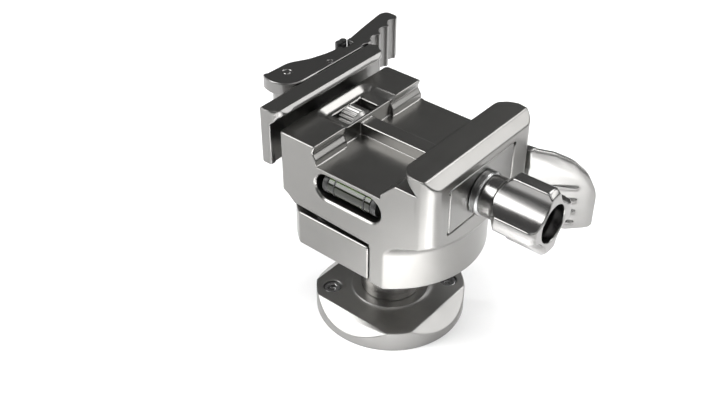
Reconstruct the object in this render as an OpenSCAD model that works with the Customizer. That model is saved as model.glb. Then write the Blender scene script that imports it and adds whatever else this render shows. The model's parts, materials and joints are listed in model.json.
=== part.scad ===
/* [Base] */
// Radius of the base disc
base_r = 18.5; // [17:0.25:22]
// Height of the base disc
base_h = 5.5; // [4.75:0.25:7]
// Distance from the axis to the top edge of each sloped facet
facet_chord = 14.85; // [13.5:0.05:16]
// Slope of the facets, down from the level
facet_deg = 42; // [30:1:50]
// Radius of the raised boss round the stem
boss_r = 9.6; // [9:0.1:11]
// Rise of the boss above the disc
boss_rise = 0.4; // [0.2:0.1:0.8]
// Reach of the fillet round the boss
boss_fillet = 1.8; // [0.6:0.1:2.4]
// Distance of each base screw from the axis
base_screw_at = 14.5; // [13:0.1:15]
// Radius of the base screw's head
base_screw_head_r = 2.1; // [1.6:0.1:2.3]
// Height of the base screw's head
base_screw_head_h = 2.4; // [1.6:0.1:2.8]
// Radius of the base screw's shank
base_screw_shank_r = 1.25; // [0.9:0.05:1.5]
// Depth of the head below the top of the disc
base_screw_sink = 0.35; // [0.1:0.05:0.6]

/* [Stem and ball] */
// Radius of the ball
ball_r = 15; // [14:0.1:15.5]
// Height of the ball's centre above the base disc
ball_rise = 22.9; // [22:0.1:26]
// Radius of the stem at its foot
neck_r = 7.3; // [7:0.1:8]
// Radius of the stem at its waist
neck_waist_r = 6.2; // [5.5:0.1:6.8]
// Radius of the spigot that seats in the base
spigot_r = 6.9; // [6.6:0.05:7]
// Depth of the spigot
spigot_len = 3; // [2:0.1:4]
// Radius of the tripod thread
thread_r = 4.76; // [3.2:0.01:4.8]
// Wall of the threaded bush
bush_wall = 0.74; // [0.6:0.02:1]
// Length of the threaded bush
bush_len = 9; // [7:0.25:10]

/* [Socket] */
// Wall of the polymer seat over the ball
seat_wall = 1.3; // [0.9:0.1:1.4]
// Wall left in front of the lower retaining ring
ring_wall = 1.2; // [1:0.1:1.6]
// Half angle of the seat's cap
seat_deg = 58; // [45:1:60]

/* [Body] */
// Half depth of the body, front to back
body_half = 19; // [18.6:0.1:21]
// Radius of the lower band
band_r = 22.7; // [21.5:0.1:24]
// Drop of the band's lower edge below the ball's centre
band_drop = 5.1; // [4.4:0.1:6]
// Height of the band
band_h = 9.6; // [8.6:0.1:10.4]
// Half width of the body on the lever side
left_x = 17.6; // [17:0.1:18.5]
// Half width of the body on the knob side
right_x = 24.8; // [24:0.1:26]
// Radius of the upright corners on the knob side
corner_r = 3.4; // [2:0.1:4]
// Wall between the ball's socket and the groove's floor
crown_wall = 2.9; // [2.4:0.1:4]
// Height of both plate jaws above the plate seat
jaw_rise = 4.2; // [3.6:0.1:5]
// Reach of the flare under the body
flare_w = 7.8; // [6.5:0.1:9]
// Height of the flare under the body
flare_h = 7.8; // [6.5:0.1:9]

/* [Clamp block] */
// Place of the upright slit on the front
slit_x = 8.1; // [6:0.1:9]
// Width of the upright slit
slit_w = 0.35; // [0.25:0.05:0.6]
// Rise of the gap over the block at its outer end
gap_rise = 2.1; // [1.2:0.1:2.6]
// Rise of the gap over the block at the slit
gap_rise_inner = 1.3; // [0.8:0.1:2]
// How far the block reaches behind the axis
block_back = 6; // [3:0.5:9]

/* [Rail groove] */
// Depth of the groove below the plate seat
groove_depth = 4.9; // [4.6:0.1:5.4]
// Place of the groove's apex on the lever side
apex_x = 7.8; // [7.5:0.1:8]
// Depth of the apex below the plate seat
apex_depth = 2; // [1.6:0.1:2.4]
// Place of the groove's lip on the lever side
groove_lip_x = 7.1; // [6.9:0.1:7.4]
// Place of the groove's foot on the lever side
foot_x = 6.8; // [6:0.1:7]
// Rise of the groove's foot above its floor
foot_rise = 1.4; // [1:0.1:1.8]
// Place of the step on the knob side
step_x = 11.4; // [11:0.1:12]
// Height of the step
step_h = 1.3; // [0.8:0.1:1.8]
// Width of the recoil bar
bar_w = 4.2; // [3.8:0.1:4.8]
// Place of the recoil bar, front to back
bar_y = -0.3; // [-1:0.1:1]

/* [Plate jaws] */
// Place of the fixed jaw's lip
lip_x = 15.9; // [15:0.1:16.5]
// Place of the root of the fixed jaw's undercut
root_x = 21.05; // [20.5:0.05:21.5]
// Chamfer on the fixed jaw's outer edge
jaw_chamfer = 2.3; // [1:0.1:3]
// Plan radius at both ends of the fixed jaw's lip
lip_end_r = 4; // [2:0.1:5]
// Half length of the moving jaw
jaw_half = 19.3; // [18.5:0.1:20.5]
// Gap between the body and the moving jaw
jaw_gap = 2.6; // [2.4:0.1:3]
// Thickness of the moving jaw's lower wall
jaw_wall = 2.9; // [2.7:0.1:3.2]
// Height of the moving jaw
jaw_h = 14.3; // [13.6:0.1:15]
// Overhang of the moving jaw's lip past its lower wall
jaw_lip = 2.8; // [2:0.1:3.2]
// Height of the moving jaw's undercut below the top
jaw_undercut = 3.6; // [3:0.1:4]
// Plan radius of the moving jaw's inner corners
jaw_corner_r = 4; // [2:0.1:5]
// Radius of the jaw's guide pins
guide_r = 1.5; // [1:0.1:1.8]
// Place of the jaw's guide pins, front and back
guide_y = 13; // [11.5:0.1:14.5]
// Depth of the jaw's guide pins below the plate seat
guide_depth = 5.7; // [4.6:0.1:6.4]

/* [Clamp lever] */
// Radius of the lever's round nose about its pin
nose_r = 5.6; // [5:0.1:5.7]
// Distance from the jaw's face to the lever's pin
pin_out = 5.8; // [5.7:0.1:6.4]
// Place of the lever's pin, front to back
pin_y = -3.9; // [-5:0.1:-3]
// Radius of the lever's pin
pin_r = 1; // [0.7:0.05:1.3]
// Height of the lever's grip
lever_h = 11.2; // [10.8:0.1:12.4]
// Thickness of the lever's upper prong
prong_h = 3.3; // [2.5:0.1:3.6]
// Thickness of the lug between the prongs
lug_h = 5; // [4.4:0.1:5.4]
// Radius of the lug about the pin
lug_r = 3.6; // [3:0.1:4]
// Radius of the detent pin's head
detent_r = 0.75; // [0.5:0.05:0.9]
// Thickness of the lever's arm
arm_w = 4.3; // [3.8:0.1:5]
// Distance from the lever's pin to the tip of the grip
lever_reach = 38.9; // [35:0.1:42]
// Radius of the grip's grooves
grip_r = 2.2; // [1.8:0.05:2.4]
// Spacing of the grip's grooves
grip_pitch = 4.7; // [4.2:0.05:5]
// Number of the grip's grooves
grip_n = 4; // [2:1:4]

/* [Thumbwheel] */
// Radius of the thumbwheel
wheel_r = 4.7; // [4.2:0.1:4.8]
// Width of the thumbwheel
wheel_w = 5.2; // [4.6:0.1:5.3]
// Depth of the thumbwheel's axis below the plate seat
wheel_depth = 5.2; // [5:0.1:5.6]
// Place of the thumbwheel, front to back
wheel_y = -0.5; // [-1:0.1:0]
// Number of ridges on the thumbwheel
wheel_n = 28; // [16:2:36]
// Radius of the drawbar
drawbar_r = 2; // [1.5:0.1:2.2]

/* [Rail jaw] */
// Place of the knob's axis, front to back
knob_y = -0.8; // [-1.1:0.1:-0.3]
// Depth of the knob's axis below the plate seat
knob_depth = 6.6; // [6.1:0.1:6.9]
// Half length of the window for the rail jaw
window_half = 11.75; // [10.5:0.05:12.5]
// Height of the window for the rail jaw
window_h = 11.75; // [11.2:0.05:12.2]
// Half length of the rail jaw's tooth
tooth_half = 10.4; // [9:0.1:11]
// Place of the tooth's lip
tooth_x = 12.3; // [12:0.1:12.8]
// Depth of the tooth's undercut
tooth_cut = 1.9; // [1.2:0.1:2.2]
// Radius of the reliefs at the window's corners
relief_r = 0.6; // [0.3:0.05:0.9]

/* [Knob] */
// Radius of the knob
knob_r = 8.1; // [7.6:0.1:9]
// Length of the knob
knob_len = 12.6; // [11:0.1:15]
// Length of the cone behind the knob
knob_back = 2.9; // [2:0.1:4]
// Chamfer on the knob's outer edge
knob_chamfer = 1.1; // [0.6:0.1:1.6]
// Number of flutes round the knob
flute_n = 4; // [3:1:5]
// Radius of each flute
flute_r = 6.4; // [5:0.1:8]
// Depth of each flute
flute_depth = 3.1; // [1.5:0.1:3.2]
// Radius of the bore in the knob's end
knob_bore_r = 4.4; // [3.5:0.1:4.6]
// Depth of the bore in the knob's end
knob_bore_len = 5; // [3:0.1:7]
// Radius of the clamp screw
screw_r = 2; // [1.6:0.1:2.1]
// Radius of the washer behind the knob
washer_r = 5.2; // [5:0.1:6]
// Thickness of the washer
washer_h = 2.05; // [1.4:0.05:2.4]
// Radius of the knob's collar
collar_r = 4.8; // [4:0.1:4.9]
// Length of the knob's collar
collar_h = 3.15; // [2.5:0.05:3.6]

/* [Spirit level] */
// Place of the slot, side to side
vial_x = 2.15; // [1:0.05:3]
// Depth of the slot's middle below the groove's floor
vial_drop = 4.4; // [4.2:0.1:4.7]
// Length of the slot
vial_slot_len = 18.4; // [15:0.1:20]
// Half height of the slot
vial_slot_r = 3.2; // [2.6:0.05:3.3]
// Depth of the slot
vial_depth = 5.9; // [5:0.1:6.1]
// Radius of the tube
vial_r = 2.7; // [2.2:0.05:2.9]
// Length of the tube's two end caps
vial_cap = 1.6; // [1:0.1:2.4]
// Distance between the two rings on the tube
vial_ring_gap = 8.4; // [6:0.1:10]
// Radius of the bubble
bubble_r = 1.05; // [0.7:0.05:1.3]
// Length of the bubble
bubble_len = 6; // [4:0.1:7]

/* [Lock lever] */
// Place of the lock lever's hub, side to side
hub_x = 11.5; // [10:0.1:12]
// Depth of the lock lever's hub below the plate seat
hub_depth = 13.2; // [12.2:0.1:13.7]
// Radius of the hub
hub_r = 5; // [4:0.1:5.4]
// Thickness of the lock lever's plate
plate_t = 2; // [1.6:0.1:2.6]
// Place of the bend in the plate, side to side
bend_x = 24.6; // [23.5:0.1:26]
// Angle of the paddle past the bend
paddle_deg = 34; // [20:1:45]
// Length of the paddle past the bend
paddle_len = 16.1; // [14:0.1:18]
// Depth of the paddle's upper corner below the plate seat
paddle_depth = 7; // [6:0.1:8]
// Height of the paddle
paddle_h = 21.7; // [20:0.1:23]
// Radius of the lock shaft
shaft_r = 3; // [2.4:0.1:3.2]
// Wall of the bush round the lock shaft
shaft_bush_wall = 1; // [0.7:0.1:1.3]

/* [Hidden] */

// Fits and the overrun of every cut
over = 0.5;
slip = 0.05;
run_gap = 0.1;
free_gap = 0.2;
open_gap = 0.3;
round_fn = 96;
small_fn = 48;
hull_fn = 32;

// Sizes of the ball's socket, then the heights, each built up from the one below it
ball_gap_r = ball_r + run_gap;
seat_out_r = ball_r + seat_wall + run_gap;
socket_r = seat_out_r + run_gap;
ball_z = base_h + ball_rise;
band_low = ball_z - band_drop;
band_top = band_low + band_h;
floor_z = ball_z + socket_r + crown_wall;
seat_z = floor_z + groove_depth;
top_z = seat_z + jaw_rise;
apex_z = seat_z - apex_depth;
foot_z = floor_z + foot_rise;
guide_z = seat_z - guide_depth;
wheel_z = seat_z - wheel_depth;
knob_z = seat_z - knob_depth;
window_top = seat_z + run_gap * 1.5;
window_low = window_top - window_h;
vial_z = floor_z - vial_drop;
hub_z = seat_z - hub_depth;
paddle_top = seat_z - paddle_depth;
paddle_low = paddle_top - paddle_h;

// Derived sizes of the stem and the socket
ring_r = body_half - ring_wall;
bush_r = thread_r + bush_wall;
boss_z = base_h + boss_rise;
spigot_z = boss_z - spigot_len;
stem_bore_r = bush_r + run_gap;
stem_bore_top = bush_len + open_gap;
neck_top = ball_z - sqrt(ball_r * ball_r - neck_waist_r * neck_waist_r);
ring_top = ball_z + 2 * over;
neck_shares = [[0, 0], [0, 0.3], [0.1, 0.45], [0.36, 0.62], [0.72, 0.8], [1, 0.96], [1, 1]];
seat_hole_share = 0.27;

// The flare's outline, as shares of its reach and its height
flare_shares = [[0, 0], [0.01, 0.06], [0.04, 0.16], [0.1, 0.28], [0.18, 0.39], [0.29, 0.49],
  [0.42, 0.58], [0.57, 0.67], [0.75, 0.79], [1, 1]];
body_out = right_x + body_half;
wing_corner_r = corner_r * 0.3;

// The block's own heights
block_low = band_low + slip * 7;
block_top = band_top - run_gap;
block_pin_r = 1.2;
block_pin_at = socket_r + block_pin_r + free_gap;
block_pin_degs = [213, 245];
block_pin_low = block_low + block_pin_r * 2.4;
block_pin_top = band_top + block_pin_r * 4.7;
block_clear = 0.25;

// The moving jaw's faces
jaw_in = left_x + jaw_gap;
jaw_out = jaw_in + jaw_wall;
jaw_low = top_z - jaw_h;
jaw_lip_edge = 0.8;
jaw_edge = 1;
pin_x = -jaw_out - pin_out;
lever_low = top_z - lever_h;
lug_top = top_z - prong_h - free_gap;
lug_low = lug_top - lug_h;
draw_travel = 0.5;
guide_end = jaw_out - run_gap - draw_travel;
guide_in_share = 0.58;
guide_len = guide_end - left_x * guide_in_share;

// The lever's places along and across, as shares of its reach and its arm
lever_side = jaw_out + free_gap;
lever_out_shares = [[-0.12, 2.06], [0.088, 1.98], [0.205, 1.38], [0.34, 1.05], [0.42, 0.98],
  [0.54, 1.17], [0.75, 1.55], [0.95, 1.85]];
lever_tip_shares = [[1, 1.66], [1, 0.86]];
lever_in_shares = [[0.961, 0.674], [0.72, 0.163], [0.627, 0]];
nose_from = 4;
nose_to = -122;
grip_from_shares = [0.553, -0.395];
grip_lean = 12.7;
detent_at_share = 0.26;
detent_side_share = 0.27;
detent_h_share = 0.5;
button_at_share = 0.487;
button_r = 0.9;
button_gap = 1.6;
button_h = 5.2;
button_low = top_z - button_h;
button_rise = 0.3;
button_side_share = 1.27;
button_stem_share = 0.3;

// The thumbwheel and its pocket
wheel_slot_x = apex_x + open_gap * 1.8;
wheel_x = wheel_slot_x + run_gap;
wheel_slot_w = wheel_w + free_gap;
wheel_flange = 1;
wheel_tooth = 0.5;
wheel_slot_gap = 0.5;
pocket_depth = 1;
pocket_in = 1.8;
pocket_r = 3;
pocket_left = 16.7;
pocket_near = -8.6;
pocket_far = 9.7;
notch_near = -8.4;
notch_far = 8.2;

// The rail jaw
window_y = -0.85;
tooth_y = -0.5;
slide_in = 13.2;
slide_low = window_low + run_gap;
slide_out = right_x - slip;
slide_edge_drop = 0.9;
slide_edge_z = apex_z - slide_edge_drop;
tooth_gap = 0.35;
tooth_run = 2.6;
screw_tip = 7.6;
endmill_r = 1.6;

// The knob's places
washer_x = right_x + slip;
collar_x = washer_x + washer_h;
knob_x = collar_x + collar_h;
knob_end = knob_x + knob_len;
cap_r = 3.2;
cap_h = 2.2;
cap_hex = 1.6;
knob_web_share = 0.5;
washer_edge = 0.4;

// The level's places
vial_ring_t = 0.12;
vial_fit = 0.02;
vial_y = body_half - vial_depth + vial_r + vial_ring_t + vial_fit;
vial_len = vial_slot_len - free_gap * 2
  - 2 * (vial_slot_r - sqrt(vial_slot_r * vial_slot_r - vial_r * vial_r));
vial_rim = 0.45;
vial_ring_w = 0.35;

// The lock lever's places
plate_y = body_half + open_gap;
hub_h = 4.4;
shaft_len = 6.4;
shaft_in = body_half - shaft_len;
shaft_head = 1.4;
lock_screw_r = 1.5;
lock_head_r = 2.6;
lock_head_h = 1.6;
lock_screw_len = 7;
paddle_shares = [[0, 1], [0.34, 0.96], [0.62, 0.875], [0.85, 0.72], [1, 0.49], [1, 0.07], [0.95, 0.03],
  [0.64, 0], [0.34, 0.02], [0, 0.4]];
paddle_round_shares = [0, 0.37, 0.5, 0.5, 0.37, 0.06, 0.06, 0.19, 0.25, 0];
field_shares = [[0, 0.775], [0.72, 0.715], [0.87, 0.6], [0.92, 0.055], [0.62, 0.015], [0.34, 0.035], [0, 0.42]];
field_round_shares = [0, 0.12, 0.2, 0.06, 0.06, 0.1, 0];
field_rise = 0.9;
bend_lap = 0.15;
rib_shares = [0.57, 0.405, 0.257, 0.11];
rib_from_share = 0.2;
rib_to_share = 0.72;
rib_h = 0.9;
rib_out = 0.55;

function unit(v) = v / norm(v);
function turn(a) = [cos(a), sin(a)];
// Arc that rounds the corner b between a and c
function corner_arc(a, b, c, r, n) =
  let (u = unit(a - b), v = unit(c - b), half = acos(max(-1, min(1, u * v))) / 2)
  let (t = min(r / tan(half), fillet_share * min(norm(a - b), norm(c - b))))
  let (q = t * tan(half), m = b + unit(u + v) * (q / sin(half)), p = b + u * t, e = b + v * t)
  let (a0 = atan2(p[1] - m[1], p[0] - m[0]), a1 = atan2(e[1] - m[1], e[0] - m[0]))
  let (d = ((a1 - a0 + 540) % 360) - 180)
  [for (i = [0:n]) m + q * turn(a0 + d * i / n)];
fillet_share = 0.48;
// An outline whose corners are rounded by the radii in rs
function rounded(pts, rs, n = 6) =
  let (k = len(pts))
  [for (i = [0:k - 1]) each rs[i] > 0
    ? corner_arc(pts[(i + k - 1) % k], pts[i], pts[(i + 1) % k], rs[i], n) : [pts[i]]];

// Lays a drawing of X and height upright, running from y0 to y1
module upright(y0, y1) translate([0, y1, 0]) rotate([90, 0, 0]) linear_extrude(y1 - y0) children();
// Stands children along the X axis from x0 at the given place
module along_x(x0, y, z) translate([x0, y, z]) rotate([0, 90, 0]) children();
// Stands children along the Y axis from y0 at the given place
module along_y(x, y0, z) translate([x, y0, z]) rotate([-90, 0, 0]) children();
module box(lo, hi) translate(lo) cube(hi - lo);

module ball_space(r) translate([0, 0, ball_z]) sphere(r = r, $fn = round_fn);

// Base
module base_screw_place() for (a = [45, 225]) rotate(a) translate([base_screw_at, 0, 0]) children();

module base_flange() color("silver") difference() {
  union() {
    cylinder(r = base_r, h = base_h, $fn = round_fn);
    rotate_extrude($fn = round_fn) polygon(concat([[0, base_h - over], [boss_r + boss_fillet, base_h - over]],
      [for (i = [0:6]) [boss_r + boss_fillet * (1 - sin(i * 15)), boss_z - boss_rise * cos(i * 15)]],
      [[0, boss_z]]));
  }
  for (a = [0:90:270]) rotate(a) translate([facet_chord, 0, base_h]) rotate([0, facet_deg, 0])
    translate([0, -base_r, 0]) cube([base_r, 2 * base_r, base_r]);
  translate([0, 0, -over]) cylinder(r = bush_r, h = base_h, $fn = round_fn);
  translate([0, 0, spigot_z]) cylinder(r = spigot_r + slip, h = spigot_len + over, $fn = round_fn);
  base_screw_place() {
    translate([0, 0, -over]) cylinder(r = base_screw_shank_r, h = base_h + over, $fn = small_fn);
    translate([0, 0, base_h - base_screw_sink - base_screw_head_h])
      cylinder(r = base_screw_head_r + run_gap, h = base_screw_head_h + over * 2, $fn = small_fn);
  }
}

module base_screws() color("dimgray") base_screw_place() difference() {
  union() {
    translate([0, 0, base_screw_sink]) cylinder(r = base_screw_shank_r, h = base_h - base_screw_sink * 2 - base_screw_head_h / 2, $fn = small_fn);
    translate([0, 0, base_h - base_screw_sink - base_screw_head_h])
      cylinder(r = base_screw_head_r, h = base_screw_head_h, $fn = small_fn);
  }
  translate([0, 0, base_h - base_screw_sink - base_screw_head_h / 2])
    cylinder(r = base_screw_head_r * 0.6, h = base_screw_head_h, $fn = 6);
}

module thread_bush() color("darkgray") difference() {
  cylinder(r = bush_r, h = bush_len, $fn = round_fn);
  translate([0, 0, -over]) cylinder(r = thread_r, h = bush_len + over * 2, $fn = round_fn);
}

// Stem and ball
module ball_stem() color("silver") difference() {
  union() {
    ball_space(ball_r);
    translate([0, 0, spigot_z]) cylinder(r = spigot_r, h = spigot_len + over, $fn = round_fn);
    rotate_extrude($fn = round_fn) polygon(concat([[0, boss_z + run_gap]],
      [for (s = neck_shares) [neck_r - (neck_r - neck_waist_r) * s[0],
        boss_z + run_gap + (neck_top - boss_z) * s[1]]], [[0, neck_top + over]]));
  }
  translate([0, 0, spigot_z - over]) cylinder(r = stem_bore_r, h = stem_bore_top - spigot_z + over, $fn = round_fn);
}

module ball_seat() color("dimgray") difference() {
  ball_space(seat_out_r);
  ball_space(ball_gap_r);
  box([-ball_r * 2, -ball_r * 2, ball_z - ball_r * 2],
    [ball_r * 2, ball_r * 2, ball_z + seat_out_r * cos(seat_deg)]);
  translate([0, 0, ball_z]) cylinder(r = ball_r * seat_hole_share, h = ball_r * 2, $fn = small_fn);
}

// The space of the ball and its seat in the body and in the block
module cavity() {
  ball_space(ball_r + block_clear);
  intersection() {
    ball_space(socket_r);
    box([-ball_r * 2, -ball_r * 2, ring_top], [ball_r * 2, ball_r * 2, ball_z + ball_r * 2]);
  }
}

// The space taken by the block, with the slit, and the gap over it
module block_space(extra) {
  box([-band_r - over, -body_half - over, band_low - over],
    [slit_x + extra, block_back + extra, block_top + extra]);
  upright(-body_half - over, block_back + extra) polygon([[-band_r - over, block_top],
    [slit_x + extra, block_top], [slit_x + extra, block_top + gap_rise_inner],
    [-ring_r * 0.72, block_top + gap_rise], [-band_r - over, block_top + gap_rise]]);
}

module block_pin_place() for (a = block_pin_degs) rotate(a) translate([block_pin_at, 0, 0]) children();

// Body
module band_plan(r) intersection() {
  circle(r = r, $fn = round_fn);
  square([4 * r, 2 * body_half], center = true);
}

module body_plan() difference() {
  translate([-left_x, -body_half]) square([left_x + right_x, 2 * body_half]);
  for (s = [-1, 1]) {
    difference() {
      translate([right_x - corner_r, s > 0 ? body_half - corner_r : -body_half - over])
        square([corner_r + over, corner_r + over]);
      translate([right_x - corner_r, s * (body_half - corner_r)]) circle(r = corner_r, $fn = small_fn);
    }
    difference() {
      translate([-left_x - over, s > 0 ? body_half - wing_corner_r : -body_half - over])
        square([wing_corner_r + over, wing_corner_r + over]);
      translate([-left_x + wing_corner_r, s * (body_half - wing_corner_r)])
        circle(r = wing_corner_r, $fn = small_fn);
    }
  }
}

module body_profile() polygon([[-left_x, band_low], [-left_x, seat_z], [-groove_lip_x, seat_z],
  [-apex_x, apex_z], [-foot_x, foot_z], [-foot_x, floor_z], [step_x, floor_z],
  [step_x, floor_z + step_h], [step_x + seat_z - floor_z - step_h, seat_z], [root_x, seat_z],
  [lip_x, top_z - slip * 6], [lip_x, top_z], [right_x - jaw_chamfer, top_z],
  [right_x, top_z - jaw_chamfer], [right_x, band_low]]);

module flare() rotate_extrude($fn = round_fn) polygon(concat([[0, band_low], [band_r, band_low]],
  [for (s = flare_shares) [band_r + flare_w * s[0], band_top + flare_h * s[1]]],
  [[body_out, band_top + flare_h], [body_out, top_z + over], [0, top_z + over]]));

module housing_form() {
  intersection() {
    upright(-body_half - over, body_half + over) body_profile();
    translate([0, 0, band_low]) linear_extrude(top_z - band_low + over) body_plan();
    flare();
  }
  translate([0, 0, band_low]) linear_extrude(band_top - band_low) band_plan(band_r);
  box([-apex_x - slip, bar_y - bar_w / 2, floor_z - over], [slide_in - open_gap * 2, bar_y + bar_w / 2, apex_z]);
}

module lip_ends() for (s = [-1, 1]) difference() {
  box([lip_x - over, s > 0 ? body_half - lip_end_r : -body_half - over, seat_z],
    [lip_x + lip_end_r, s > 0 ? body_half + over : -body_half + lip_end_r, top_z + over]);
  translate([lip_x + lip_end_r, s * (body_half - lip_end_r), seat_z - over])
    cylinder(r = lip_end_r, h = top_z - seat_z + over * 3, $fn = small_fn);
}

module pocket() {
  hull() {
    for (y = [pocket_near + pocket_r, pocket_far - pocket_r])
      translate([-pocket_left + pocket_r, y, seat_z - pocket_depth])
        cylinder(r1 = pocket_r - pocket_in, r2 = pocket_r, h = pocket_depth, $fn = hull_fn);
    box([-apex_x, pocket_near + pocket_in, seat_z - pocket_depth],
      [-foot_x, pocket_far - pocket_in, seat_z - pocket_depth + slip]);
    box([-apex_x, pocket_near, seat_z - slip], [-foot_x, pocket_far, seat_z]);
  }
  difference() {
    box([-apex_x, notch_near, floor_z], [-foot_x + over, notch_far, seat_z]);
    box([-apex_x - over, bar_y - bar_w / 2, floor_z - over], [-foot_x + over * 2, bar_y + bar_w / 2, apex_z]);
  }
}

module wheel_slot() {
  along_x(-wheel_slot_x - wheel_slot_w, wheel_y, wheel_z)
    cylinder(r = wheel_r + wheel_slot_gap, h = wheel_slot_w, $fn = small_fn);
  box([-wheel_slot_x - wheel_slot_w, wheel_y - wheel_r - wheel_slot_gap, wheel_z],
    [-wheel_slot_x, wheel_y + wheel_r + wheel_slot_gap, seat_z + over]);
}

module window() {
  box([slide_in - run_gap, window_y - window_half, window_low],
    [slide_in + tooth_run, window_y + window_half, slide_edge_z - over * 3]);
  box([slide_in + tooth_run, window_y - window_half, window_low], [right_x + over, window_y + window_half, window_top]);
  box([slide_in - over * 4, tooth_y - tooth_half - tooth_gap, slide_edge_z - over * 3],
    [slide_in + tooth_run + over, tooth_y + tooth_half + tooth_gap, window_top]);
  for (s = [-1, 1]) {
    along_x(slide_in + tooth_run, window_y + s * window_half, window_low + relief_r)
      cylinder(r = relief_r, h = right_x - slide_in, $fn = small_fn);
    along_x(slide_in + tooth_run, window_y + s * window_half, window_top - relief_r)
      cylinder(r = relief_r, h = right_x - slide_in, $fn = small_fn);
    translate([slide_in + tooth_run - endmill_r, tooth_y + s * (tooth_half + tooth_gap), slide_edge_z - over * 3])
      cylinder(r = endmill_r, h = window_top - slide_edge_z + over * 3, $fn = small_fn);
  }
}

module vial_slot() {
  for (s = [-1, 1]) along_y(vial_x + s * (vial_slot_len / 2 - vial_slot_r), -body_half - over, vial_z)
    cylinder(r = vial_slot_r, h = vial_depth + over, $fn = small_fn);
  box([vial_x - vial_slot_len / 2 + vial_slot_r, -body_half - over, vial_z - vial_slot_r],
    [vial_x + vial_slot_len / 2 - vial_slot_r, -body_half + vial_depth, vial_z + vial_slot_r]);
  hull() for (s = [-1, 1]) along_y(vial_x + s * (vial_slot_len / 2 - vial_slot_r), -body_half - vial_rim, vial_z)
    cylinder(r1 = vial_slot_r + vial_rim * 2, r2 = vial_slot_r, h = vial_rim * 2, $fn = hull_fn);
}

module housing() color("silver") difference() {
  housing_form();
  cavity();
  translate([0, 0, band_low - over]) cylinder(r = ring_r, h = ring_top - band_low + over, $fn = round_fn);
  block_space(slit_w);
  lip_ends();
  pocket();
  wheel_slot();
  window();
  vial_slot();
  along_x(-left_x - over, wheel_y, wheel_z)
    cylinder(r = drawbar_r + slip, h = left_x - wheel_slot_x - wheel_slot_w + over * 2, $fn = small_fn);
  for (s = [-1, 1]) along_x(-guide_end, s * guide_y, guide_z)
    cylinder(r = guide_r, h = guide_len, $fn = small_fn);
  along_x(screw_tip - open_gap, knob_y, knob_z) cylinder(r = screw_r + slip, h = slide_in, $fn = small_fn);
  along_y(hub_x, shaft_in - open_gap, hub_z)
    cylinder(r = shaft_r + shaft_bush_wall, h = body_half - shaft_in + over * 2, $fn = small_fn);
  block_pin_place() translate([0, 0, block_pin_low])
    cylinder(r = block_pin_r, h = block_pin_top - block_pin_low, $fn = small_fn);
}

module seat_ring() color("dimgray") difference() {
  translate([0, 0, band_low + free_gap]) cylinder(r = ring_r, h = ring_top - band_low - free_gap, $fn = round_fn);
  ball_space(ball_gap_r);
  block_space(slit_w);
}

module clamp_block() color("silver") difference() {
  intersection() {
    translate([0, 0, block_low]) linear_extrude(block_top - block_low) band_plan(band_r);
    box([-band_r - over, -body_half - over, band_low], [slit_x, block_back, band_top]);
  }
  cavity();
  block_pin_place() translate([0, 0, block_pin_low - over])
    cylinder(r = block_pin_r + slip, h = block_pin_top - block_pin_low, $fn = small_fn);
}

module block_pins() color("dimgray") block_pin_place() translate([0, 0, block_pin_low])
  cylinder(r = block_pin_r, h = block_pin_top - block_pin_low, $fn = small_fn);

// Lock lever
module lock_bush() color("darkgray") difference() {
  along_y(hub_x, shaft_in, hub_z)
    cylinder(r = shaft_r + shaft_bush_wall, h = body_half - shaft_in, $fn = small_fn);
  along_y(hub_x, shaft_in - over, hub_z)
    cylinder(r = shaft_r + slip, h = body_half - shaft_in + over * 2, $fn = small_fn);
}

module lock_shaft() color("dimgray") difference() {
  union() {
    along_y(hub_x, shaft_in, hub_z) cylinder(r = shaft_r, h = plate_y + plate_t - shaft_in, $fn = small_fn);
    along_y(hub_x, body_half + run_gap, hub_z) cylinder(r = hub_r - over, h = open_gap - run_gap, $fn = small_fn);
  }
  along_y(hub_x, plate_y + plate_t - lock_screw_len, hub_z)
    cylinder(r = lock_screw_r, h = lock_screw_len + over, $fn = small_fn);
}

// Lays a drawing of length and height on the paddle's plane, running back from the given depth
module on_paddle(depth, thick) translate([bend_x, plate_y, paddle_low]) rotate(paddle_deg)
  translate([-bend_lap, depth + thick, 0]) rotate([90, 0, 0]) linear_extrude(thick) children();

// The paddle's outline and its inner field, from shares of its length and height
function paddle_at(s) = [paddle_len * s[0], paddle_h * s[1]];
module paddle_outline(size = 1)
  polygon(size * rounded([for (s = paddle_shares) paddle_at(s)], paddle_len * paddle_round_shares));
module paddle_field() polygon(rounded([for (s = field_shares) paddle_at(s)], paddle_len * field_round_shares));

// One rib of the paddle seen from above, thicker towards its outer end
module rib_plan() polygon([[paddle_len * rib_from_share, 0], [paddle_len * rib_to_share - rib_out, -rib_out],
  [paddle_len * rib_to_share, -rib_out / 2], [paddle_len * rib_to_share, plate_t / 2],
  [paddle_len * rib_from_share, plate_t / 2]]);

// The arm along the back of the body, from the hub to the bend
module lever_arm() translate([0, plate_y + plate_t, 0]) rotate([90, 0, 0]) linear_extrude(plate_t) {
  translate([hub_x, hub_z]) circle(r = hub_r, $fn = small_fn);
  polygon([[hub_x, hub_z + hub_r], [bend_x, paddle_low + paddle_at(paddle_shares[0])[1] + bend_lap],
    [bend_x, paddle_low + paddle_at(paddle_shares[len(paddle_shares) - 1])[1] - bend_lap], [hub_x, hub_z - hub_r]]);
}

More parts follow.
